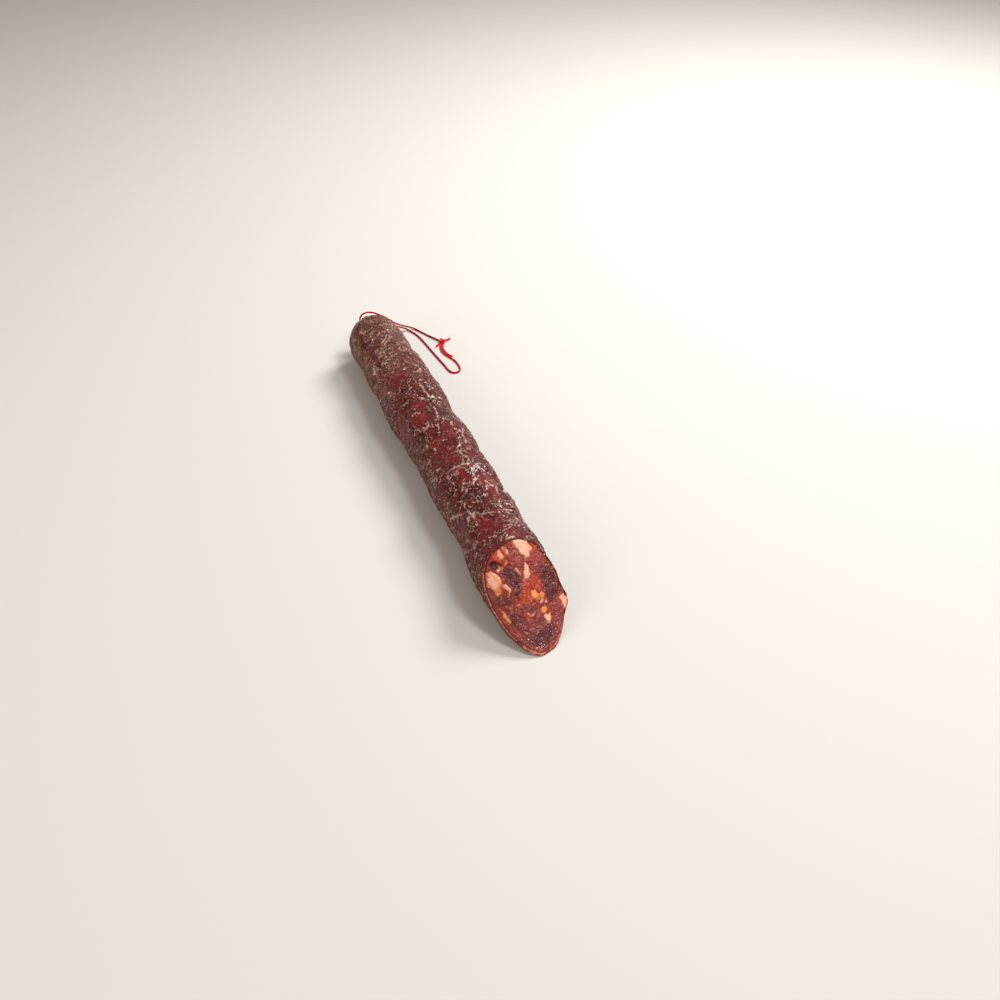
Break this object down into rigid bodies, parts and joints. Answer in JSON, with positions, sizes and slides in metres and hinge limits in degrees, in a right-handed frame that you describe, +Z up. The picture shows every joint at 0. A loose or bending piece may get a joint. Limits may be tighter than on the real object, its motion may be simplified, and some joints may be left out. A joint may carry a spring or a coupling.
{
  "type": "cured sausage",
  "caption": "Long dry-cured pork sausage in a wrinkled natural casing, cut aslant at one end, tied at the other with red string that ends in a knotted hanging loop.",
  "frame": {"origin": "on the surface that the sausage lies on, in the middle of the box round the sausage and its tie", "axes": "+X along the sausage towards its cut end, +Y to the side where the string lies, +Z up"},
  "size_m": [0.4026, 0.0933, 0.0458],
  "materials": {
    "casing": "wrinkled dry casing with pale bloom, half gloss",
    "cut_meat": "moist cut meat, lean and fat",
    "red_string": "twisted twine"
  },
  "bodies": {
    "root": {"sausage": "casing", "end_tie": "red_string", "string_short": "red_string", "string_long": "red_string", "string_knot": "red_string"}
  },
  "joints": []
}
